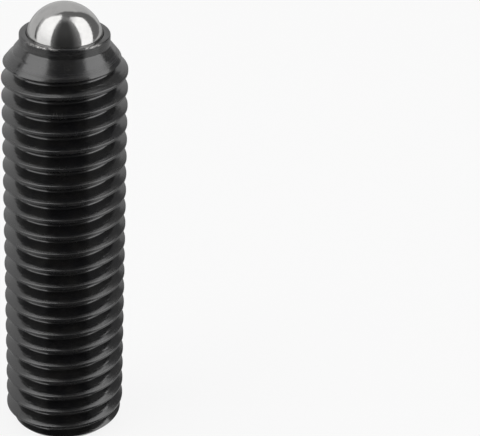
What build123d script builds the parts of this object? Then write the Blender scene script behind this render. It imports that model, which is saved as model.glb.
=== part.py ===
from build123d import *

import math
import os

# A ball spring plunger: a threaded steel sleeve, and inside it a compression
# spring that holds a hardened ball up against a rolled-in lip.
# Millimetres. Z is the axis of the plunger, the origin is the centre of the flat
# face at the key socket's end, and the ball points up.

# Outer thread of the sleeve: M10 x 1.5, right-hand, ISO 60 degree form
thread_diameter = 9.8
thread_pitch = 1.5
thread_flank_angle = 60
crest_flat = thread_pitch / 8
root_flat = thread_pitch / 4
thread_start_angle = 60

# The thread is lofted in straight runs, and the bar has a flat for each run of a
# turn; a multiple of four puts corners on both cross axes, at the full diameter
thread_runs_per_turn = 24

# Turned blank of the sleeve
sleeve_length = 35.0
end_face_diameter = 8.1
end_chamfer_angle = 45
collar_diameter = 7.0
collar_height = 0.8
nose_half_angle = 38
rim_edge_chamfer = 0.1
lip_edge_bevel = 0.05

# Ball, and how far its centre lies below the rim
ball_diameter = 6.0
ball_clearance = 0.03
ball_centre_depth = 0.65

# Compression spring, as fitted between the ball and the floor of the bore
wire_diameter = 0.8
wire_sides = 8
wire_runs_per_turn = 20
spring_length = 14.0
active_coils = 5
closed_coil_gap = 0.06
spring_bore_clearance = 0.2
spring_ball_clearance = 0.03
spring_floor_clearance = 0.02

# Hexagon key socket
socket_across_flats = 5.0
socket_depth = 5.0
socket_mouth_overhang = 0.1
socket_mouth_angle = 90
drill_point_angle = 118

# Sizes that follow from the ones above
thread_radius = thread_diameter / 2
collar_radius = collar_diameter / 2
ball_radius = ball_diameter / 2
wire_radius = wire_diameter / 2
bore_radius = ball_radius + ball_clearance
ball_centre_z = sleeve_length - ball_centre_depth
coil_radius = bore_radius - spring_bore_clearance - wire_radius
coil_to_ball = ball_radius + spring_ball_clearance + wire_radius
top_coil_z = ball_centre_z - math.sqrt(coil_to_ball**2 - coil_radius**2)
bore_floor_z = top_coil_z + wire_radius - spring_length
bottom_coil_z = bore_floor_z + spring_floor_clearance + wire_radius


def turned(points):
    """A solid turned about Z from a closed outline of (radius, height) points."""
    outline = make_face(Polyline(*[(radius, 0, z) for radius, z in points], close=True))
    return revolve(outline, Axis.Z)


def blank():
    """The turned bar: end face, chamfer, thread diameter, nose cone and collar."""
    end_radius = end_face_diameter / 2
    chamfer_height = (thread_radius - end_radius) / math.tan(math.radians(end_chamfer_angle))
    collar_foot_z = sleeve_length - collar_height
    nose_height = (thread_radius - collar_radius) / math.tan(math.radians(nose_half_angle))
    return turned(
        [
            (0, 0),
            (end_radius, 0),
            (thread_radius, chamfer_height),
            (thread_radius, collar_foot_z - nose_height),
            (collar_radius, collar_foot_z),
            (collar_radius, sleeve_length - rim_edge_chamfer),
            (collar_radius - rim_edge_chamfer, sleeve_length),
            (0, sleeve_length),
        ]
    )


def facetted(bar):
    """The bar with flats between the thread's stations, so that its crests run straight too."""
    prism = extrude(RegularPolygon(thread_radius, thread_runs_per_turn), sleeve_length)
    return bar & (Rot(0, 0, thread_start_angle) * prism)


def helical_run(section, pitch, turns, runs_per_turn):
    """A section in the half-plane of +X, lofted up a right-hand helix in straight runs."""
    step = 360 / runs_per_turn
    rise = pitch / runs_per_turn
    stations = [
        Pos(0, 0, rise * index) * Rot(0, 0, step * index) * section
        for index in range(turns * runs_per_turn + 1)
    ]
    return loft(stations, ruled=True)


def thread_groove_turn():
    """One turn of the groove between the thread's ridges, starting a pitch below the end face."""
    mouth_width = thread_pitch - crest_flat
    slope = math.tan(math.radians(thread_flank_angle / 2))
    root_radius = thread_radius - (mouth_width - root_flat) / 2 / slope
    over_radius = thread_radius + crest_flat / 2
    over_width = mouth_width + 2 * slope * (over_radius - thread_radius)
    corners = [
        (root_radius, -root_flat / 2),
        (over_radius, -over_width / 2),
        (over_radius, over_width / 2),
        (root_radius, root_flat / 2),
    ]
    section = make_face(Polyline(*[(radius, 0, z) for radius, z in corners], close=True))
    turn = helical_run(section, thread_pitch, 1, thread_runs_per_turn)
    return Pos(0, 0, -thread_pitch) * Rot(0, 0, thread_start_angle) * turn


def cut_thread(bar):
    """The bar with the groove cut turn by turn, out through both of its ends."""
    turn = thread_groove_turn()
    turn_count = math.ceil(sleeve_length / thread_pitch) + 1
    for index in range(turn_count):
        bar = bar - Pos(0, 0, index * thread_pitch) * turn
    return bar


def ball_bore():
    """The bore for spring and ball, closed at its mouth by the lip's round seat."""
    mouth_z = sleeve_length - lip_edge_bevel
    mouth_radius = math.sqrt(bore_radius**2 - (mouth_z - ball_centre_z) ** 2)
    straight = turned(
        [
            (0, bore_floor_z),
            (bore_radius, bore_floor_z),
            (bore_radius, ball_centre_z),
            (0, ball_centre_z),
        ]
    )
    seat = Pos(0, 0, ball_centre_z) * Sphere(bore_radius)
    bevel = turned(
        [
            (0, mouth_z),
            (mouth_radius, mouth_z),
            (mouth_radius + 2 * lip_edge_bevel, mouth_z + 2 * lip_edge_bevel),
            (0, mouth_z + 2 * lip_edge_bevel),
        ]
    )
    return straight + seat + bevel


def key_socket():
    """The hexagon socket, its countersunk mouth and the point left by the pilot drill."""
    drill_radius = socket_across_flats / 2
    corner_radius = drill_radius / math.cos(math.radians(30))
    prism = extrude(RegularPolygon(corner_radius, 6), socket_depth)
    point_height = drill_radius / math.tan(math.radians(drill_point_angle / 2))
    drilled = turned(
        [(0, 0), (drill_radius, 0), (drill_radius, socket_depth), (0, socket_depth + point_height)]
    )
    mouth_radius = corner_radius + socket_mouth_overhang
    mouth_depth = mouth_radius / math.tan(math.radians(socket_mouth_angle / 2))
    mouth = turned([(0, 0), (mouth_radius, 0), (0, mouth_depth)])
    return prism + drilled + mouth


def threaded_sleeve():
    return cut_thread(facetted(blank())) - ball_bore() - key_socket()


def detent_ball():
    return Pos(0, 0, ball_centre_z) * Sphere(ball_radius)


def coil_run(start_z, pitch, turns):
    """Whole turns of wire; both ends are flat sections in the half-plane of +X."""
    section = Plane.XZ * Pos(coil_radius, 0) * RegularPolygon(wire_radius, wire_sides)
    return Pos(0, 0, start_z) * helical_run(section, pitch, turns, wire_runs_per_turn)


def compression_spring():
    """The active coils, with one closed turn at each end."""
    closed_pitch = wire_diameter + closed_coil_gap
    active_z = bottom_coil_z + closed_pitch
    active_top_z = top_coil_z - closed_pitch
    active_pitch = (active_top_z - active_z) / active_coils
    bottom = coil_run(bottom_coil_z, closed_pitch, 1)
    active = coil_run(active_z, active_pitch, active_coils)
    top = coil_run(active_top_z, closed_pitch, 1)
    return bottom + active + top


os.makedirs("parts", exist_ok=True)
export_step(threaded_sleeve(), "parts/threaded_sleeve.step")
export_step(compression_spring(), "parts/compression_spring.step")
export_step(detent_ball(), "parts/detent_ball.step")
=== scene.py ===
import math

import bmesh
import bpy
from mathutils import Matrix, Vector


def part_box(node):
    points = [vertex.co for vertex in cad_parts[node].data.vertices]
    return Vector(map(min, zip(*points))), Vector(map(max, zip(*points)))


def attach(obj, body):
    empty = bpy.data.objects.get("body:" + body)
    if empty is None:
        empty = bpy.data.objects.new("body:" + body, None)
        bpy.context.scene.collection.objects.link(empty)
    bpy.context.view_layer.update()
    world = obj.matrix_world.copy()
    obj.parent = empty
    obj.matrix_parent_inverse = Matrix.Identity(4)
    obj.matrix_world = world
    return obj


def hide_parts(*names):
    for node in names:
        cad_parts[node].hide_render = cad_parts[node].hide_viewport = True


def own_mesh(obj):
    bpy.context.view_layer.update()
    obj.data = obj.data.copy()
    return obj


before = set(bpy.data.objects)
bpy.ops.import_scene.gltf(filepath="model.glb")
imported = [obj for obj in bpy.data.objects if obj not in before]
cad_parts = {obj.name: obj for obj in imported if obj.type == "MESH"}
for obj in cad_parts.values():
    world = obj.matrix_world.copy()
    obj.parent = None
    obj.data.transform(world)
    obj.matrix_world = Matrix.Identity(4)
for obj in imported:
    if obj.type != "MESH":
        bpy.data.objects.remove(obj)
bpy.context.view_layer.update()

# A ball spring plunger: a black oxidised screw sleeve, a polished ball held by the
# sleeve's rolled lip, and the compression spring under it.
# Sizes in this list are in millimetres; every mesh is in metres.

MM = 0.001

# Places that come from the solids
SLEEVE_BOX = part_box("threaded_sleeve")
BALL_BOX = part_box("detent_ball")
CREST_RADIUS = SLEEVE_BOX[1][0] / MM
RIM_HEIGHT = SLEEVE_BOX[1][2] / MM
BALL_RADIUS = (BALL_BOX[1][2] - BALL_BOX[0][2]) / 2 / MM
BALL_HEIGHT = (BALL_BOX[1][2] + BALL_BOX[0][2]) / 2 / MM

# Outer thread
PITCH = 1.5
FLANK_ANGLE = 60
CREST_FLAT = PITCH / 8
ROOT_ROUND = 0.17
ROOT_FLAT = 2 * ROOT_ROUND * math.tan(math.radians(FLANK_ANGLE / 2))
THREAD_START_ANGLE = 60
CREST_EDGE_ROUND = 0.03
CREST_SEAM_DEPTH = 0.008
STEPS_PER_TURN = 120

# Lines of corners on the flanks, this far from crest and root, keep the flanks flat
NEAR_CREST = 0.07
NEAR_ROOT = 0.12

# What the roundings leave of the crest's flat and of half the root's flat
CREST_FLAT_KEPT = 0.02
ROOT_FLAT_KEPT = 0.003

# The thread starts below the foot and is cut to length
TURNS_BELOW_FOOT = 2
FIRST_CUT_BELOW_FOOT = 0.3

# Turned ends of the sleeve
END_FACE_RADIUS = 4.05
COLLAR_RADIUS = 3.5
COLLAR_HEIGHT = 0.8
COLLAR_FOOT = RIM_HEIGHT - COLLAR_HEIGHT
COLLAR_FOOT_ROUND = 0.04
NOSE_HALF_ANGLE = 38
NOSE_SLOPE = math.tan(math.radians(NOSE_HALF_ANGLE))
RIM_EDGE_ROUND = 0.14
LIP_BEVEL = 0.05
LIP_EDGE_ROUND = 0.02
FOOT_EDGE_ROUND = 0.015
RUNOUT_EDGE = 0.03
RUNOUT_SAG = 0.005
TOP_JOIN_HEIGHT = 33.7
FOOT_JOIN_HEIGHT = 0.02

# Bore and spring
BALL_GAP = 0.03
SPRING_SIDE_GAP = 0.2
SPRING_FLOOR_GAP = 0.02
BORE_RADIUS = BALL_RADIUS + BALL_GAP
BORE_FLOOR = 18.33
FLOOR_RING_SHARE = 0.6
SEAT_STEPS = 5
WIRE_RADIUS = 0.4
WIRE_SIDES = 14
WIRE_STEPS_PER_TURN = 48
COIL_RADIUS = BORE_RADIUS - SPRING_SIDE_GAP - WIRE_RADIUS
COIL_TO_BALL = BALL_RADIUS + BALL_GAP + WIRE_RADIUS
SPRING_START = BORE_FLOOR + SPRING_FLOOR_GAP + WIRE_RADIUS
CLOSED_PITCH = 0.86
ACTIVE_COILS = 5
TOP_COIL = BALL_HEIGHT - math.sqrt(COIL_TO_BALL ** 2 - COIL_RADIUS ** 2)

# Key socket
SOCKET_FLAT_RADIUS = 2.5
SOCKET_CORNER_RADIUS = SOCKET_FLAT_RADIUS / math.cos(math.radians(30))
SOCKET_MOUTH_RADIUS = SOCKET_CORNER_RADIUS + 0.1
SOCKET_MOUTH_STEP = 0.05
SOCKET_MOUTH_ROUND = 0.03
SOCKET_DEPTH = 5.0
DRILL_POINT_ANGLE = 118
DRILL_GAP = 0.01
DRILL_TIP_RADIUS = 0.1

# Limits in metres: on a cut, at the same height, and near enough to be merged
ON_CUT = 1e-8
SAME_HEIGHT = 1e-7
MERGE_DISTANCE = 1e-6

# How far off a step's angle, in steps, a corner may be and still be that step's own
ON_STEP = 1e-3
SHARP_ANGLE = 30


# ---------------------------------------------------------------- mesh helpers


def outline(bm, points):
    """Joins (radius, height) points into an open line in the half-plane of +X."""
    corners = [bm.verts.new((radius * MM, 0, height * MM)) for radius, height in points]
    for start, end in zip(corners, corners[1:]):
        bm.edges.new((start, end))
    return corners


def round_corners(bm, corners, reach, segments):
    """Rounds corners of a line, each arc starting this far from its corner."""
    bmesh.ops.bevel(
        bm,
        geom=corners,
        offset=reach * MM,
        offset_type="OFFSET",
        segments=segments,
        profile=0.5,
        affect="VERTICES",
        material=-1,
    )


def turn(bm, geometry, turns=1, rise=0, steps=STEPS_PER_TURN):
    """Spins geometry about Z. With a rise per turn, in millimetres, it is a helix."""
    count = round(turns * steps)
    return bmesh.ops.spin(
        bm,
        geom=geometry,
        cent=(0, 0, 0),
        axis=(0, 0, 1),
        dvec=(0, 0, rise * MM / steps),
        angle=2 * math.pi * turns,
        steps=count,
        use_merge=rise == 0,
        use_normal_flip=False,
        use_duplicate=False,
    )


def radius_of(co):
    """How far a place is from the axis, in metres."""
    return math.hypot(co.x, co.y)


def set_radius(vert, radius):
    """Moves a vertex straight in or out from the axis."""
    now = radius_of(vert.co)
    vert.co.x *= radius / now
    vert.co.y *= radius / now


def split_at(bm, excess, level):
    """Splits each edge where excess equals level, and joins the new corners across the faces."""
    value = {vert: excess(vert.co) - level for vert in bm.verts}
    on_cut = [vert for vert, amount in value.items() if abs(amount) < ON_CUT]
    for edge in list(bm.edges):
        first, second = edge.verts
        here, there = value[first], value[second]
        if here * there < 0 and min(abs(here), abs(there)) >= ON_CUT:
            new_vert = bmesh.utils.edge_split(edge, first, here / (here - there))[1]
            on_cut.append(new_vert)
    bmesh.ops.connect_verts(bm, verts=on_cut)


def trim_to(bm, excess):
    """Turns down whatever stands out of a cone, and softens the edge that this leaves."""
    edge = RUNOUT_EDGE * MM
    for level in (-edge, edge, 0):
        split_at(bm, excess, level)
    for vert in bm.verts:
        amount = excess(vert.co)
        if amount > ON_CUT:
            set_radius(vert, radius_of(vert.co) - amount)
        elif amount > -ON_CUT:
            set_radius(vert, radius_of(vert.co) - RUNOUT_SAG * MM)


def cut_off(bm, height, above):
    """Cuts the mesh at a height, and returns the loop of vertices left there."""
    cut = bmesh.ops.bisect_plane(
        bm,
        geom=bm.verts[:] + bm.edges[:] + bm.faces[:],
        dist=ON_CUT,
        plane_co=(0, 0, height * MM),
        plane_no=(0, 0, 1 if above else -1),
        clear_outer=True,
    )
    return [item for item in cut["geom_cut"] if isinstance(item, bmesh.types.BMVert)]


def even_out(bm, loop, radius):
    """Leaves one vertex of a cut loop for each step of a turn, exactly on its circle."""
    step = 2 * math.pi / STEPS_PER_TURN
    on_step = {}
    between = []
    for vert in loop:
        place = math.atan2(vert.co.y, vert.co.x) / step
        index = round(place) % STEPS_PER_TURN
        if abs(place - round(place)) < ON_STEP and index not in on_step:
            on_step[index] = vert
        else:
            between.append((vert, index))
    bmesh.ops.weld_verts(bm, targetmap={vert: on_step[index] for vert, index in between})
    for index, vert in on_step.items():
        vert.co.x = radius * MM * math.cos(index * step)
        vert.co.y = radius * MM * math.sin(index * step)


def open_loop(bm, height):
    """The edges of the open loop at a height."""

    def there(edge):
        return all(abs(vert.co.z - height * MM) < SAME_HEIGHT for vert in edge.verts)

    return [edge for edge in bm.edges if edge.is_boundary and there(edge)]


def extend(bm, loop, place):
    """Extrudes an open loop and puts each new vertex where place says for its angle."""
    made = bmesh.ops.extrude_edge_only(bm, edges=loop)["geom"]
    for vert in (item for item in made if isinstance(item, bmesh.types.BMVert)):
        angle = math.atan2(vert.co.y, vert.co.x)
        radius, height = place(angle)
        vert.co = Vector((radius * math.cos(angle), radius * math.sin(angle), height)) * MM
    return [item for item in made if isinstance(item, bmesh.types.BMEdge)]


def finished(bm, name, body, node, material):
    """Makes a bmesh a piece of the plunger that stands for a solid."""
    bmesh.ops.recalc_face_normals(bm, faces=bm.faces[:])
    mesh = bpy.data.meshes.new(name)
    bm.to_mesh(mesh)
    bm.free()
    mesh.shade_smooth()
    mesh.set_sharp_from_angle(angle=math.radians(SHARP_ANGLE))
    mesh.materials.append(material)
    piece = bpy.data.objects.new(name, mesh)
    bpy.context.scene.collection.objects.link(piece)
    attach(piece, body)
    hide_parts(node)
    return piece


# ------------------------------------------------------------------- the pieces


def thread_depth():
    """From the crests down to the flat that the rounded root is cut from."""
    half_slope = math.tan(math.radians(FLANK_ANGLE / 2))
    return (PITCH - CREST_FLAT - ROOT_FLAT) / 2 / half_slope


def one_ridge(bm, height):
    """The outline of one ridge of the thread, from mid root to mid root."""
    root = CREST_RADIUS - thread_depth()
    lean = math.tan(math.radians(FLANK_ANGLE / 2))
    crest_support = CREST_FLAT / 2 - CREST_EDGE_ROUND - CREST_FLAT_KEPT
    lower_half = [
        (root, -PITCH / 2),
        (root, -PITCH / 2 + ROOT_FLAT / 2),
        (root + NEAR_ROOT, -PITCH / 2 + ROOT_FLAT / 2 + NEAR_ROOT * lean),
        (CREST_RADIUS - NEAR_CREST, -CREST_FLAT / 2 - NEAR_CREST * lean),
        (CREST_RADIUS, -CREST_FLAT / 2),
        (CREST_RADIUS, -crest_support),
    ]
    seam = [(CREST_RADIUS - CREST_SEAM_DEPTH, 0)]
    upper_half = [(radius, -z) for radius, z in reversed(lower_half)]
    points = [(radius, z + height) for radius, z in lower_half + seam + upper_half]
    corners = outline(bm, points)
    last = len(corners) - 1
    root_corners = [corners[1], corners[last - 1]]
    crest_corners = [corners[4], corners[last - 4]]
    round_corners(bm, root_corners, ROOT_FLAT / 2 - ROOT_FLAT_KEPT, 5)
    round_corners(bm, crest_corners, CREST_EDGE_ROUND, 3)


def thread(bm):
    """The whole thread, run out into the chamfer at the foot and the cone at the nose."""
    first_crest = PITCH / 2 - PITCH * THREAD_START_ANGLE / 360 - TURNS_BELOW_FOOT * PITCH
    one_ridge(bm, first_crest)
    turn(bm, bm.verts[:] + bm.edges[:], turns=1, rise=PITCH)
    first_turn = bm.verts[:] + bm.edges[:] + bm.faces[:]
    for count in range(1, math.ceil(RIM_HEIGHT / PITCH) + TURNS_BELOW_FOOT):
        copy = bmesh.ops.duplicate(bm, geom=first_turn)["geom"]
        corners = [item for item in copy if isinstance(item, bmesh.types.BMVert)]
        bmesh.ops.translate(bm, verts=corners, vec=(0, 0, count * PITCH * MM))
    bmesh.ops.remove_doubles(bm, verts=bm.verts[:], dist=MERGE_DISTANCE)
    cut_off(bm, -FIRST_CUT_BELOW_FOOT, above=False)
    cut_off(bm, COLLAR_FOOT, above=True)

    def out_of_nose(co):
        return radius_of(co) - (COLLAR_RADIUS * MM + (COLLAR_FOOT * MM - co.z) * NOSE_SLOPE)

    def out_of_chamfer(co):
        return radius_of(co) - (END_FACE_RADIUS * MM + co.z)

    trim_to(bm, out_of_nose)
    trim_to(bm, out_of_chamfer)
    even_out(bm, cut_off(bm, FOOT_JOIN_HEIGHT, above=False), END_FACE_RADIUS + FOOT_JOIN_HEIGHT)
    join_radius = COLLAR_RADIUS + (COLLAR_FOOT - TOP_JOIN_HEIGHT) * NOSE_SLOPE
    even_out(bm, cut_off(bm, TOP_JOIN_HEIGHT, above=True), join_radius)
    return join_radius


def nose_and_bore(bm, join_radius):
    """The collar, rim, lip, round seat and bore, turned in one piece on top of the thread."""
    lip_height = RIM_HEIGHT - LIP_BEVEL
    lip_angle = math.asin((lip_height - BALL_HEIGHT) / BORE_RADIUS)
    lip_radius = BORE_RADIUS * math.cos(lip_angle)
    corners = outline(
        bm,
        [
            (join_radius, TOP_JOIN_HEIGHT),
            (COLLAR_RADIUS, COLLAR_FOOT),
            (COLLAR_RADIUS, RIM_HEIGHT),
            (lip_radius + LIP_BEVEL, RIM_HEIGHT),
            (lip_radius, lip_height),
        ],
    )
    seat = bmesh.ops.spin(
        bm,
        geom=[corners[-1]],
        cent=(0, 0, BALL_HEIGHT * MM),
        axis=(0, 1, 0),
        angle=lip_angle,
        steps=SEAT_STEPS,
    )["geom_last"]
    seat_end = [item for item in seat if isinstance(item, bmesh.types.BMVert)][0]
    floor_ring = BORE_RADIUS * FLOOR_RING_SHARE
    wall = outline(bm, [(BORE_RADIUS, BORE_FLOOR), (floor_ring, BORE_FLOOR), (0, BORE_FLOOR)])
    bm.edges.new((seat_end, wall[0]))
    round_corners(bm, [corners[1]], COLLAR_FOOT_ROUND, 3)
    round_corners(bm, [corners[2]], RIM_EDGE_ROUND, 5)
    round_corners(bm, [corners[3]], LIP_EDGE_ROUND, 2)
    turn(bm, bm.verts[:] + bm.edges[:])


def foot_face(bm):
    """The flat end face, from the chamfer to the countersunk mouth of the socket."""
    corners = outline(
        bm,
        [
            (END_FACE_RADIUS + FOOT_JOIN_HEIGHT, FOOT_JOIN_HEIGHT),
            (END_FACE_RADIUS, 0),
            (SOCKET_MOUTH_RADIUS, 0),
            (SOCKET_MOUTH_RADIUS - SOCKET_MOUTH_STEP, SOCKET_MOUTH_STEP),
        ],
    )
    round_corners(bm, [corners[1]], FOOT_EDGE_ROUND, 2)
    round_corners(bm, [corners[2]], SOCKET_MOUTH_ROUND, 3)
    turn(bm, bm.verts[:] + bm.edges[:])


def hexagon_radius(angle):
    """How far the socket's wall is from the axis, with a corner on +X."""
    across = (angle + 2 * math.pi) % (math.pi / 3) - math.pi / 6
    return SOCKET_FLAT_RADIUS / math.cos(across)


def socket(bm):
    """The countersink, the hexagon and the drill point, drawn in from the foot's open mouth."""
    point_height = SOCKET_FLAT_RADIUS / math.tan(math.radians(DRILL_POINT_ANGLE / 2))
    tip_height = DRILL_TIP_RADIUS / SOCKET_FLAT_RADIUS * point_height

    def countersunk(angle):
        return hexagon_radius(angle), SOCKET_MOUTH_RADIUS - hexagon_radius(angle)

    def bottom(angle):
        return hexagon_radius(angle), SOCKET_DEPTH

    def drilled(angle):
        return SOCKET_FLAT_RADIUS - DRILL_GAP, SOCKET_DEPTH

    def near_point(angle):
        return DRILL_TIP_RADIUS, SOCKET_DEPTH + point_height - tip_height

    loop = open_loop(bm, SOCKET_MOUTH_STEP)
    for place in (countersunk, bottom, drilled, near_point):
        loop = extend(bm, loop, place)
    bmesh.ops.holes_fill(bm, edges=loop, sides=0)


def threaded_sleeve(material):
    """Thread, nose with bore, and foot with socket, merged into one closed piece."""
    bm = bmesh.new()
    join_radius = thread(bm)
    nose = bmesh.new()
    nose_and_bore(nose, join_radius)
    foot = bmesh.new()
    foot_face(foot)
    socket(foot)
    for part in (nose, foot):
        scratch = bpy.data.meshes.new("scratch")
        part.to_mesh(scratch)
        part.free()
        bm.from_mesh(scratch)
        bpy.data.meshes.remove(scratch)
    bmesh.ops.remove_doubles(bm, verts=bm.verts[:], dist=MERGE_DISTANCE)
    return finished(bm, "screw_sleeve", "sleeve", "threaded_sleeve", material)


def detent_ball(material):
    """The ball at the top of its travel, where the lip holds it."""
    bm = bmesh.new()
    bmesh.ops.create_icosphere(bm, subdivisions=6, radius=BALL_RADIUS * MM)
    bmesh.ops.translate(bm, verts=bm.verts[:], vec=(0, 0, BALL_HEIGHT * MM))
    return finished(bm, "polished_ball", "ball", "detent_ball", material)


def compression_spring(material):
    """Round wire: one closed turn, the active coils and one closed turn."""
    bm = bmesh.new()
    bmesh.ops.create_circle(bm, cap_ends=True, segments=WIRE_SIDES, radius=WIRE_RADIUS * MM)
    bmesh.ops.rotate(bm, verts=bm.verts[:], matrix=Matrix.Rotation(math.pi / 2, 3, "X"))
    place = (COIL_RADIUS * MM, 0, SPRING_START * MM)
    bmesh.ops.translate(bm, verts=bm.verts[:], vec=place)
    active_rise = TOP_COIL - SPRING_START - 2 * CLOSED_PITCH
    runs = [(1, CLOSED_PITCH), (ACTIVE_COILS, active_rise / ACTIVE_COILS), (1, CLOSED_PITCH)]
    geometry = bm.verts[:] + bm.edges[:] + bm.faces[:]
    for turns, rise in runs:
        run = turn(bm, geometry, turns=turns, rise=rise, steps=WIRE_STEPS_PER_TURN)
        geometry = run["geom_last"]
    piece = finished(bm, "coil_spring", "sleeve", "compression_spring", material)
    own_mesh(piece)
    return piece


# ------------------------------------------------------------------- materials

# Colours of the finishes
OXIDE_DRY = (0.008, 0.008, 0.009, 1)
OXIDE_OILED = (0.014, 0.0135, 0.013, 1)
# Worn steel for the rim's edge, partly a painted highlight where its patches catch the lamps
WORN_STEEL_AND_HIGHLIGHT = (0.46, 0.45, 0.44, 1)
BALL_CLEAN = (0.60, 0.595, 0.585, 1)
BALL_OILED = (0.55, 0.545, 0.54, 1)
WIRE_BRIGHT = (0.42, 0.41, 0.39, 1)
WIRE_OILED = (0.27, 0.25, 0.22, 1)

# The oxide: a thin oil film, and the lines of the lathe and of the thread rollers
OXIDE_IOR = 1.97
OXIDE_ROUGHNESS = 0.11
TURNED_LINE_FINENESS = 18.0
TURNED_LINE_HEIGHT = 1.4
THREAD_LINE_FINENESS = 12.0
THREAD_LINE_HEIGHT = 4.0
THREAD_LINE_WANDER = 0.25
GRAIN_HEIGHT = 0.1
CHATTER_HEIGHT = 2.5
OXIDE_BUMP = 0.004

# The rim's worn edge, which also carries the painted highlight of the wear patches: its depth and
# width in millimetres, from none to full
RIM_DEPTHS = (0.17, 0.1)
RIM_WIDTHS = (0.24, 0.1)
CHATTER_STRETCH = (3.2, 3.2, 9.0)
SPECKS = (0.48, 0.55)

# Where it is worn bright, partly a painted highlight, as the patches sit where the lamps' highlights
# fall: start, end and softness in parts of a turn, twice round
WEAR_AND_HIGHLIGHT_PATCHES = ((-0.40, -0.285, 0.025), (-0.185, -0.115, 0.02))
WORN_AND_HIGHLIGHT_METALLIC = 0.9

# A turned face's rings fade out this far off it, and over this width inside the thread
OFF_TURNED = (0.012, 0.02)
INSIDE_FADE = 0.02

# Heights of tool lines between which they grow dull, and how much roughness that adds
LINE_HEIGHTS = (0.42, 0.6)
RING_DULLNESS = (-0.02, 0.07)
THREAD_DULLNESS = (0.0, 0.14)
CREST_FADE = (0.12, 0.36)

BALL_ROUGHNESS = 0.10
BALL_BUMP = 0.004
WIRE_ROUGHNESS = 0.25
WIRE_BUMP = 0.004


def output_of(item):
    """A node's first output, or the socket itself."""
    return item.outputs[0] if isinstance(item, bpy.types.Node) else item


def plug(tree, source, target):
    """Feeds a socket, a node's first output or a plain number into an input."""
    if isinstance(source, (int, float, tuple)):
        target.default_value = source
    else:
        tree.links.new(output_of(source), target)


def calc(tree, operation, *values, clamp=False):
    """A Math node's result."""
    node = tree.nodes.new("ShaderNodeMath")
    node.operation = operation
    node.use_clamp = clamp
    for value, target in zip(values, node.inputs):
        plug(tree, value, target)
    return node.outputs[0]


def ramp(tree, value, low, high, to_low=0.0, to_high=1.0):
    """Value mapped smoothly from low..high to to_low..to_high, and held at the ends."""
    node = tree.nodes.new("ShaderNodeMapRange")
    node.interpolation_type = "SMOOTHSTEP"
    for value_in, target in zip((value, low, high, to_low, to_high), node.inputs):
        plug(tree, value_in, target)
    return node.outputs[0]


def window(tree, value, low, high, soft):
    """1 between low and high and 0 outside, with soft edges."""
    above = ramp(tree, value, low - soft, low + soft)
    below = ramp(tree, value, high - soft, high + soft, 1.0, 0.0)
    return calc(tree, "MULTIPLY", above, below)


def blend(tree, share, first, second):
    """A colour between first and second."""
    node = tree.nodes.new("ShaderNodeMix")
    node.data_type = "RGBA"
    plug(tree, share, node.inputs["Factor"])
    plug(tree, first, node.inputs["A"])
    plug(tree, second, node.inputs["B"])
    return node.outputs["Result"]


def noise(tree, vector, scale, detail=3.0, roughness=0.5, dimensions="3D", w=None):
    """A noise texture's value, over a place or, in 1D, over the number w."""
    node = tree.nodes.new("ShaderNodeTexNoise")
    node.noise_dimensions = dimensions
    if vector is not None:
        plug(tree, vector, node.inputs["Vector"])
    if w is not None:
        plug(tree, w, node.inputs["W"])
    plug(tree, scale, node.inputs["Scale"])
    plug(tree, detail, node.inputs["Detail"])
    plug(tree, roughness, node.inputs["Roughness"])
    return node.outputs["Fac"]


def stretched(tree, vector, scale):
    """A place with each of its coordinates scaled."""
    node = tree.nodes.new("ShaderNodeVectorMath")
    node.operation = "MULTIPLY"
    plug(tree, vector, node.inputs[0])
    plug(tree, scale, node.inputs[1])
    return node.outputs[0]


def new_group(name, inputs, outputs):
    """An empty node group with float and vector inputs and float outputs."""
    tree = bpy.data.node_groups.new(name, "ShaderNodeTree")
    for label, kind, value in inputs:
        made = tree.interface.new_socket(name=label, in_out="INPUT", socket_type=kind)
        if value is not None:
            made.default_value = value
    for label in outputs:
        tree.interface.new_socket(name=label, in_out="OUTPUT", socket_type="NodeSocketFloat")
    start = tree.nodes.new("NodeGroupInput")
    end = tree.nodes.new("NodeGroupOutput")
    return tree, start.outputs, end.inputs


def tool_lines():
    """Fine lines left by a cutting or rolling tool: they vary across their run only."""
    tree, given, result = new_group(
        "tool_lines",
        [("Across", "NodeSocketFloat", 0.0), ("Fineness", "NodeSocketFloat", 9.0)],
        ["Height"],
    )
    fine = noise(tree, None, given["Fineness"], detail=2.0, dimensions="1D", w=given["Across"])
    coarse_scale = calc(tree, "MULTIPLY", given["Fineness"], 0.22)
    coarse = noise(tree, None, coarse_scale, detail=1.0, dimensions="1D", w=given["Across"])
    total = calc(tree, "ADD", calc(tree, "MULTIPLY", coarse, 0.6), calc(tree, "MULTIPLY", fine, 0.4))
    plug(tree, total, result["Height"])
    return tree


def smudges():
    """Soft patches of oil and handling, between 0 and 1."""
    tree, given, result = new_group(
        "smudges",
        [("Position", "NodeSocketVector", None), ("Size", "NodeSocketFloat", 1.0)],
        ["Amount"],
    )
    scale = calc(tree, "DIVIDE", 1.0, given["Size"])
    patch = noise(tree, given["Position"], scale, detail=4.0, roughness=0.6)
    plug(tree, ramp(tree, patch, 0.35, 0.68), result["Amount"])
    return tree


def fine_scratches():
    """Thin crossing scratches, 1 in a scratch and 0 beside it."""
    tree, given, result = new_group(
        "fine_scratches",
        [
            ("Position", "NodeSocketVector", None),
            ("Scale", "NodeSocketFloat", 1.0),
            ("Width", "NodeSocketFloat", 0.02),
        ],
        ["Mask"],
    )
    masks = []
    for direction in ((1.0, 0.12, 0.35), (0.2, 1.0, 0.1)):
        place = stretched(tree, given["Position"], direction)
        wave = noise(tree, place, given["Scale"], detail=1.0)
        off = calc(tree, "ABSOLUTE", calc(tree, "SUBTRACT", wave, 0.5))
        inside = calc(tree, "SUBTRACT", 1.0, calc(tree, "DIVIDE", off, given["Width"]), clamp=True)
        masks.append(inside)
    patches = ramp(tree, noise(tree, given["Position"], 0.9), 0.45, 0.62)
    both = calc(tree, "MAXIMUM", *masks)
    plug(tree, calc(tree, "MULTIPLY", both, patches), result["Mask"])
    return tree


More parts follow.
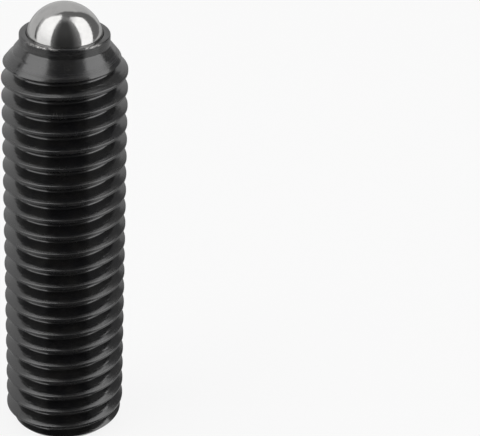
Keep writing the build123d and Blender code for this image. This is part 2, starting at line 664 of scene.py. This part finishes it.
def use(tree, group, **given):
    """Places a node group with its own values, and gives its output."""
    node = tree.nodes.new("ShaderNodeGroup")
    node.node_tree = group
    for label, value in given.items():
        plug(tree, value, node.inputs[label])
    return node.outputs[0]


def new_material(name):
    """A material, its node tree, its Principled shader and the position in millimetres."""
    material = bpy.data.materials.new(name)
    material.use_nodes = True
    tree = material.node_tree
    shader = tree.nodes["Principled BSDF"]
    coordinates = tree.nodes.new("ShaderNodeTexCoord")
    millimetres = stretched(tree, coordinates.outputs["Object"], (1 / MM, 1 / MM, 1 / MM))
    return material, tree, shader, millimetres


def bump(tree, shader, height, distance):
    """Bumps the surface; distance is in millimetres for a height of 1."""
    node = tree.nodes.new("ShaderNodeBump")
    node.inputs["Strength"].default_value = 1.0
    node.inputs["Distance"].default_value = distance * MM
    plug(tree, height, node.inputs["Height"])
    plug(tree, node.outputs["Normal"], shader.inputs["Normal"])


def cylinder_position(tree, millimetres):
    """(radius, angle in turns, height) of a point about the sleeve's axis."""
    split = tree.nodes.new("ShaderNodeSeparateXYZ")
    plug(tree, millimetres, split.inputs[0])
    x, y, z = split.outputs
    squares = calc(tree, "ADD", calc(tree, "MULTIPLY", x, x), calc(tree, "MULTIPLY", y, y))
    angle = calc(tree, "DIVIDE", calc(tree, "ARCTAN2", y, x), 2 * math.pi)
    return calc(tree, "SQRT", squares), angle, z


def turned_faces(tree, radius, z):
    """1 on the nose cone, the end chamfer and whatever is inside them, 0 on the thread."""
    rise = calc(tree, "SUBTRACT", COLLAR_FOOT, z)
    nose_here = calc(tree, "ADD", COLLAR_RADIUS, calc(tree, "MULTIPLY", rise, NOSE_SLOPE))
    chamfer_here = calc(tree, "ADD", END_FACE_RADIUS, z)
    off_nose = calc(tree, "ABSOLUTE", calc(tree, "SUBTRACT", radius, nose_here))
    off_chamfer = calc(tree, "ABSOLUTE", calc(tree, "SUBTRACT", radius, chamfer_here))
    off_turned = calc(tree, "MINIMUM", off_nose, off_chamfer)
    on_turned = ramp(tree, off_turned, *OFF_TURNED, 1.0, 0.0)
    inside = ramp(tree, radius, END_FACE_RADIUS - INSIDE_FADE, END_FACE_RADIUS, 1.0, 0.0)
    return calc(tree, "MAXIMUM", on_turned, inside)


def across_the_thread(tree, angle, z):
    """0 on a crest's middle, half a pitch at a root's middle."""
    climb = calc(tree, "MULTIPLY", angle, PITCH)
    start = PITCH / 2 - PITCH * THREAD_START_ANGLE / 360
    from_crest = calc(tree, "SUBTRACT", calc(tree, "SUBTRACT", z, climb), start)
    return calc(tree, "WRAP", from_crest, PITCH / 2, -PITCH / 2)


def rim_edge(tree, radius, z):
    """1 on the outer edge of the rim."""
    high = ramp(tree, z, *[RIM_HEIGHT - depth for depth in RIM_DEPTHS])
    outside = ramp(tree, radius, *[COLLAR_RADIUS - width for width in RIM_WIDTHS])
    return calc(tree, "MULTIPLY", high, outside)


def rim_wear_and_highlight(tree, rim, chatter, angle):
    """Bright specks where the rim was rolled in, thickest in two patches each half turn; the patches
    sit where the lamps' highlights fall, so they are partly a painted highlight.
    """
    half_turn = calc(tree, "WRAP", angle, 0.0, -0.5)
    patches = calc(tree, "MAXIMUM", *[window(tree, half_turn, *patch) for patch in WEAR_AND_HIGHLIGHT_PATCHES])
    specks = ramp(tree, chatter, *SPECKS)
    return calc(tree, "MULTIPLY", rim, calc(tree, "MULTIPLY", specks, patches))


def black_oxide(groups):
    """Blackened machined steel under a thin film of oil, worn bright on the rim's edge, the wear
    gathered where the lamps' highlights fall as a partly painted highlight.
    """
    material, tree, shader, millimetres = new_material("black_oxide_finish")
    radius, angle, z = cylinder_position(tree, millimetres)
    turned = turned_faces(tree, radius, z)

    # The lathe's rings run round the axis, and the rollers' lines follow the thread
    across_thread = across_the_thread(tree, angle, z)
    wander = calc(tree, "MULTIPLY", noise(tree, millimetres, 0.9, detail=2.0), THREAD_LINE_WANDER)
    thread_lines = use(
        tree,
        groups["tool_lines"],
        Across=calc(tree, "ADD", across_thread, wander),
        Fineness=THREAD_LINE_FINENESS,
    )
    turned_lines = use(
        tree,
        groups["tool_lines"],
        Across=calc(tree, "SUBTRACT", z, radius),
        Fineness=TURNED_LINE_FINENESS,
    )
    turned_height = calc(tree, "MULTIPLY", turned, TURNED_LINE_HEIGHT)
    threaded = calc(tree, "SUBTRACT", 1.0, turned)
    thread_height = calc(tree, "MULTIPLY", threaded, THREAD_LINE_HEIGHT)
    lines = calc(
        tree,
        "ADD",
        calc(tree, "MULTIPLY", turned_lines, turned_height),
        calc(tree, "MULTIPLY", thread_lines, thread_height),
    )

    rim = rim_edge(tree, radius, z)
    chatter_place = stretched(tree, millimetres, CHATTER_STRETCH)
    chatter = noise(tree, chatter_place, 1.0, detail=5.0, roughness=0.7)
    # Worn steel specks on the rim's edge, in patches where the lamps' highlights fall: partly real
    # wear, partly a painted highlight
    wear_and_highlight = rim_wear_and_highlight(tree, rim, chatter, angle)
    scratches = use(tree, groups["fine_scratches"], Position=millimetres, Scale=2.2, Width=0.012)
    oil = use(tree, groups["smudges"], Position=millimetres, Size=1.6)
    grain = noise(tree, millimetres, 14.0, detail=3.0)

    oxide = blend(tree, oil, OXIDE_DRY, OXIDE_OILED)
    plug(tree, blend(tree, wear_and_highlight, oxide, WORN_STEEL_AND_HIGHLIGHT), shader.inputs["Base Color"])
    plug(tree, calc(tree, "MULTIPLY", wear_and_highlight, WORN_AND_HIGHLIGHT_METALLIC), shader.inputs["Metallic"])

    # Some of the tool's lines are duller than others, so highlights end in streaks
    near_crest = ramp(tree, calc(tree, "ABSOLUTE", across_thread), *CREST_FADE, 1.0, 0.0)
    dull_rings = ramp(tree, turned_lines, *LINE_HEIGHTS, *RING_DULLNESS)
    dull_rings = calc(tree, "MULTIPLY", dull_rings, turned)
    dull_lines = ramp(tree, thread_lines, *LINE_HEIGHTS, *THREAD_DULLNESS)
    dull_lines = calc(tree, "MULTIPLY", dull_lines, near_crest)
    roughness = calc(tree, "ADD", OXIDE_ROUGHNESS, calc(tree, "MULTIPLY", oil, 0.05))
    roughness = calc(tree, "ADD", roughness, calc(tree, "MULTIPLY", scratches, 0.12))
    roughness = calc(tree, "ADD", roughness, calc(tree, "ADD", dull_rings, dull_lines))
    plug(tree, roughness, shader.inputs["Roughness"])
    shader.inputs["IOR"].default_value = OXIDE_IOR

    rough_rim = calc(tree, "MULTIPLY", calc(tree, "MULTIPLY", chatter, rim), CHATTER_HEIGHT)
    height = calc(tree, "ADD", lines, calc(tree, "MULTIPLY", grain, GRAIN_HEIGHT))
    bump(tree, shader, calc(tree, "ADD", height, rough_rim), OXIDE_BUMP)
    return material


def mirror_steel(groups):
    """The ball: lapped steel with hairline scratches and a trace of oil."""
    material, tree, shader, millimetres = new_material("mirror_steel_finish")
    scratches = use(tree, groups["fine_scratches"], Position=millimetres, Scale=3.5, Width=0.006)
    oil = use(tree, groups["smudges"], Position=millimetres, Size=1.1)
    plug(tree, blend(tree, oil, BALL_CLEAN, BALL_OILED), shader.inputs["Base Color"])
    shader.inputs["Metallic"].default_value = 1.0
    grain = noise(tree, millimetres, 5.0, detail=3.0, roughness=0.6)
    roughness = calc(tree, "ADD", BALL_ROUGHNESS, calc(tree, "MULTIPLY", oil, 0.05))
    roughness = calc(tree, "ADD", roughness, calc(tree, "MULTIPLY", scratches, 0.10))
    plug(tree, roughness, shader.inputs["Roughness"])
    height = calc(tree, "SUBTRACT", grain, calc(tree, "MULTIPLY", scratches, 0.15))
    bump(tree, shader, height, BALL_BUMP)
    return material


def drawn_wire(groups):
    """Spring wire: bright, with lines along the wire from the drawing die."""
    material, tree, shader, millimetres = new_material("drawn_wire_finish")
    radius = cylinder_position(tree, millimetres)[0]
    lines = use(tree, groups["tool_lines"], Across=radius, Fineness=16.0)
    oil = use(tree, groups["smudges"], Position=millimetres, Size=0.8)
    plug(tree, blend(tree, oil, WIRE_BRIGHT, WIRE_OILED), shader.inputs["Base Color"])
    shader.inputs["Metallic"].default_value = 1.0
    roughness = calc(tree, "ADD", WIRE_ROUGHNESS, calc(tree, "MULTIPLY", oil, 0.15))
    plug(tree, roughness, shader.inputs["Roughness"])
    bump(tree, shader, lines, WIRE_BUMP)
    return material


# ---------------------------------------------------------------- studio and camera

FLOOR_HALF_WIDTH = 3
FLOOR_DROP = 0.00002
FLOOR_COLOUR = (0.85, 0.85, 0.85, 1)
FLOOR_LEVEL = 0.85
ROOM_LEVEL = 0.5

# What polished metal mirrors, as levels where 1 is white. Directions are in degrees, as
# seen from the ball: azimuth 0 is the camera's side, and grows to the camera's right.
STUDIO_RADIUS = 0.6
STUDIO_SEGMENTS = 72
DOME_BELOW_FLOOR = 0.03
DARK_LEVEL = 0.035
SPILL_LEVEL = 0.28
SPILL_AZIMUTHS = (18.0, 62.0)
WALL_LEVEL = 0.17
WALL_AZIMUTHS = (85.0, 97.0)
CEILING_LEVEL = 0.22
CEILING_ELEVATIONS = (66.0, 84.0)

# The backdrop: its sides and their softness, from straight behind, and its leaning top edge
BACKDROP_LEVEL = 0.62
BACKDROP_SIDES = (-37.0, 95.0, 1.0)
BACKDROP_HIGHEST_AT = 200.0
BACKDROP_STEEPNESS = 2.43

# The table. Its cloth and patches have two azimuths and a softness each.
TABLE_HEIGHT = 0.0001
TABLE_HOLE_RADIUS = 0.0055
TABLE_NEAR_LEVEL = 0.41
TABLE_FAR_LEVEL = 0.65
TABLE_NEAR_AND_FAR = (0.12, 0.5)
CLOTH = (-40.0, 48.0, 7.0)
RIGHT_PATCH = (50.0, 94.0, 6.0)
LEFT_PATCH = (-126.0, -104.0, 6.0)

# Corners as (azimuth, elevation), and a glow as two elevations and the level at each
SOFTBOX_DISTANCE = 0.45
SOFTBOX_LEFT_CORNERS = [(-41, -3), (-87, -3), (-111, 44), (-146, 79), (-72, 81)]
SOFTBOX_LEFT_GLOW = (0.0, 50.0, 1.12, 1.6)
SOFTBOX_RIGHT_CORNERS = [(49, -3), (88, -3), (116, 42), (111, 76), (76, 77)]
SOFTBOX_RIGHT_GLOW = (58.0, 78.0, 1.62, 1.05)
STAND_DISTANCE = SOFTBOX_DISTANCE + 0.05
STAND_CORNERS = [(-92, 0), (-100, 0), (-124, 37), (-115, 37)]
STAND_GLOW = (15.0, 38.0, 0.09, 0.4)

CAMERA_PLACE = (0, -0.12175, 0.0852)
CAMERA_LENS = 128.0
CAMERA_SENSOR = 36.0
CAMERA_DOWN = 28.59
CAMERA_ASIDE = -5.862


def seen_directly_or_mirrored(tree):
    """1 for rays from the camera and for those that metal and glass send on."""
    path = tree.nodes.new("ShaderNodeLightPath")
    seen = calc(tree, "MAXIMUM", path.outputs["Is Camera Ray"], path.outputs["Is Glossy Ray"])
    return calc(tree, "MAXIMUM", seen, path.outputs["Is Transmission Ray"])


def white_room():
    """A world that is white to look at and lights the plunger at a plain, lower level."""
    world = bpy.data.worlds.new("white_room")
    bpy.context.scene.world = world
    world.use_nodes = True
    tree = world.node_tree
    background = tree.nodes["Background"]
    background.inputs["Color"].default_value = (1, 1, 1, 1)
    seen = seen_directly_or_mirrored(tree)
    plug(tree, ramp(tree, seen, 0.0, 1.0, ROOM_LEVEL, 1.0), background.inputs["Strength"])


def floor():
    """A pale floor that keeps the plunger's shadow and is otherwise nearly white."""
    bm = bmesh.new()
    bmesh.ops.create_grid(bm, x_segments=1, y_segments=1, size=FLOOR_HALF_WIDTH)
    bmesh.ops.translate(bm, verts=bm.verts[:], vec=(0, 0, -FLOOR_DROP))
    mesh = bpy.data.meshes.new("floor")
    bm.to_mesh(mesh)
    bm.free()
    material = bpy.data.materials.new("pale_floor")
    material.use_nodes = True
    tree = material.node_tree
    shader = tree.nodes["Principled BSDF"]
    shader.inputs["Base Color"].default_value = FLOOR_COLOUR
    shader.inputs["Roughness"].default_value = 0.6
    white = tree.nodes.new("ShaderNodeEmission")
    mixed = tree.nodes.new("ShaderNodeMixShader")
    seen = seen_directly_or_mirrored(tree)
    plug(tree, calc(tree, "MULTIPLY", seen, FLOOR_LEVEL), mixed.inputs[0])
    plug(tree, shader.outputs[0], mixed.inputs[1])
    plug(tree, white.outputs[0], mixed.inputs[2])
    plug(tree, mixed.outputs[0], tree.nodes["Material Output"].inputs["Surface"])
    mesh.materials.append(material)
    piece = bpy.data.objects.new("floor", mesh)
    bpy.context.scene.collection.objects.link(piece)


def only_in_reflections(piece):
    """A studio card that polished metal mirrors, and that neither shows nor shades anything."""
    piece.visible_camera = False
    piece.visible_diffuse = False
    piece.visible_transmission = False
    piece.visible_volume_scatter = False
    piece.visible_shadow = False


def studio_direction(tree):
    """(azimuth, elevation, distance) in degrees and metres; 0 faces the camera's side."""
    coordinates = tree.nodes.new("ShaderNodeTexCoord")
    split = tree.nodes.new("ShaderNodeSeparateXYZ")
    plug(tree, coordinates.outputs["Object"], split.inputs[0])
    x, y, z = split.outputs
    azimuth = calc(tree, "DEGREES", calc(tree, "ARCTAN2", x, calc(tree, "MULTIPLY", y, -1.0)))
    squares = calc(tree, "ADD", calc(tree, "MULTIPLY", x, x), calc(tree, "MULTIPLY", y, y))
    distance = calc(tree, "SQRT", squares)
    elevation = calc(tree, "DEGREES", calc(tree, "ARCTAN2", z, distance))
    return azimuth, elevation, distance


def glowing(name, level_of):
    """A material that shines at the level that level_of works out in its node tree."""
    material = bpy.data.materials.new(name)
    material.use_nodes = True
    tree = material.node_tree
    tree.nodes.remove(tree.nodes["Principled BSDF"])
    light = tree.nodes.new("ShaderNodeEmission")
    plug(tree, level_of(tree), light.inputs["Strength"])
    plug(tree, light, tree.nodes["Material Output"].inputs["Surface"])
    return material


def backdrop_mask(tree, azimuth, elevation):
    """1 on the backdrop, behind the plunger and below a leaning straight edge."""
    from_behind = calc(tree, "WRAP", calc(tree, "SUBTRACT", azimuth, 180.0), 180.0, -180.0)
    sides = window(tree, from_behind, *BACKDROP_SIDES)
    off_highest = calc(tree, "RADIANS", calc(tree, "SUBTRACT", azimuth, BACKDROP_HIGHEST_AT))
    steepness = calc(tree, "MULTIPLY", calc(tree, "COSINE", off_highest), BACKDROP_STEEPNESS)
    top = calc(tree, "DEGREES", calc(tree, "ARCTANGENT", steepness))
    under = ramp(tree, calc(tree, "SUBTRACT", elevation, top), -1.0, 1.0, 1.0, 0.0)
    return calc(tree, "MULTIPLY", sides, under)


def wall_levels(tree):
    """A dark front, dim sides and ceiling, and a pale backdrop low down behind."""
    azimuth, elevation, _ = studio_direction(tree)
    away = calc(tree, "ABSOLUTE", azimuth)
    front = ramp(tree, elevation, 0.0, 60.0, DARK_LEVEL, 2 * DARK_LEVEL)
    front = calc(tree, "ADD", front, ramp(tree, away, *SPILL_AZIMUTHS, 0.0, SPILL_LEVEL))
    front = calc(tree, "MULTIPLY", front, ramp(tree, away, *WALL_AZIMUTHS, 1.0, 0.0))
    ceiling = ramp(tree, elevation, *CEILING_ELEVATIONS, 0.0, CEILING_LEVEL)
    side = ramp(tree, away, *WALL_AZIMUTHS, 0.0, WALL_LEVEL)
    dim = calc(tree, "MAXIMUM", front, calc(tree, "MAXIMUM", ceiling, side))
    backdrop = backdrop_mask(tree, azimuth, elevation)
    more = calc(tree, "MULTIPLY", backdrop, calc(tree, "SUBTRACT", BACKDROP_LEVEL, dim))
    return calc(tree, "ADD", dim, more)


def table_levels(tree):
    """A grey table with a dark cloth towards the camera and a paler patch on each side."""
    azimuth, _, distance = studio_direction(tree)
    grey = ramp(tree, distance, *TABLE_NEAR_AND_FAR, TABLE_NEAR_LEVEL, TABLE_FAR_LEVEL)
    right = window(tree, azimuth, *RIGHT_PATCH)
    left = window(tree, azimuth, *LEFT_PATCH)
    patch = calc(tree, "MULTIPLY", calc(tree, "MAXIMUM", right, left), TABLE_FAR_LEVEL)
    cloth = window(tree, azimuth, *CLOTH)
    bare = calc(tree, "SUBTRACT", 1.0, cloth)
    lit = calc(tree, "MULTIPLY", calc(tree, "MAXIMUM", grey, patch), bare)
    return calc(tree, "ADD", lit, calc(tree, "MULTIPLY", cloth, DARK_LEVEL))


def stage_card(name, bm, material):
    """Makes a bmesh a piece of the studio that only polished metal mirrors."""
    mesh = bpy.data.meshes.new(name)
    bm.to_mesh(mesh)
    bm.free()
    mesh.materials.append(material)
    piece = bpy.data.objects.new(name, mesh)
    bpy.context.scene.collection.objects.link(piece)
    only_in_reflections(piece)
    return piece


def studio_dome():
    """The walls and ceiling, a dome centred on the ball."""
    bm = bmesh.new()
    bmesh.ops.create_uvsphere(
        bm,
        u_segments=STUDIO_SEGMENTS,
        v_segments=STUDIO_SEGMENTS // 2,
        radius=STUDIO_RADIUS,
    )
    centre = BALL_HEIGHT * MM
    below = [vert for vert in bm.verts if vert.co.z < -centre - DOME_BELOW_FLOOR]
    bmesh.ops.delete(bm, geom=below, context="VERTS")
    stage_card("studio_dome", bm, glowing("studio_walls", wall_levels)).location.z = centre


def table():
    """The table round the plunger, a flat ring a hair above the floor."""
    bm = bmesh.new()
    radii = (TABLE_HOLE_RADIUS, STUDIO_RADIUS)
    line = [bm.verts.new((radius, 0, TABLE_HEIGHT)) for radius in radii]
    bm.edges.new(line)
    turn(bm, line + bm.edges[:], steps=STUDIO_SEGMENTS)
    stage_card("table", bm, glowing("table_top", table_levels))


def towards(azimuth, elevation, distance):
    """A place seen from the ball in a direction, in degrees, 0 being the camera's side."""
    azimuth, elevation = math.radians(azimuth), math.radians(elevation)
    level = math.cos(elevation)
    direction = Vector((math.sin(azimuth) * level, -math.cos(azimuth) * level, math.sin(elevation)))
    return Vector((0, 0, BALL_HEIGHT * MM)) + direction * distance


def card(name, corners, glow, distance):
    """A flat card between corners, its glow graded from a lower to an upper elevation."""
    bm = bmesh.new()
    bm.faces.new([bm.verts.new(towards(*corner, distance)) for corner in corners])
    bmesh.ops.triangulate(bm, faces=bm.faces[:])

    def graded(tree):
        elevation = studio_direction(tree)[1]
        return ramp(tree, elevation, *glow)

    return stage_card(name, bm, glowing(name + "_glow", graded))


def softbox(name, corners, glow):
    """A large lamp: it lights the plunger too, so it isn't only in reflections."""
    lamp = card(name, corners, glow, SOFTBOX_DISTANCE)
    lamp.visible_diffuse = True


def camera():
    """A long lens above the rim. It is turned a little to the right of the plunger."""
    data = bpy.data.cameras.new("camera")
    data.lens = CAMERA_LENS
    data.sensor_width = CAMERA_SENSOR
    data.clip_start = 0.005
    data.clip_end = 20.0
    piece = bpy.data.objects.new("camera", data)
    piece.location = CAMERA_PLACE
    down = Matrix.Rotation(math.radians(90 - CAMERA_DOWN), 3, "X")
    aside = Matrix.Rotation(math.radians(CAMERA_ASIDE), 3, "Y")
    piece.rotation_euler = (down @ aside).to_euler()
    bpy.context.scene.collection.objects.link(piece)
    bpy.context.scene.camera = piece


def studio():
    """Room, floor, mirrored studio and camera."""
    white_room()
    floor()
    studio_dome()
    table()
    softbox("softbox_left", SOFTBOX_LEFT_CORNERS, SOFTBOX_LEFT_GLOW)
    softbox("softbox_right", SOFTBOX_RIGHT_CORNERS, SOFTBOX_RIGHT_GLOW)
    card("light_stand", STAND_CORNERS, STAND_GLOW, STAND_DISTANCE)
    camera()
    bpy.context.scene.view_settings.view_transform = "Standard"


GROUPS = {
    "tool_lines": tool_lines(),
    "smudges": smudges(),
    "fine_scratches": fine_scratches(),
}
threaded_sleeve(black_oxide(GROUPS))
detent_ball(mirror_steel(GROUPS))
compression_spring(drawn_wire(GROUPS))
studio()
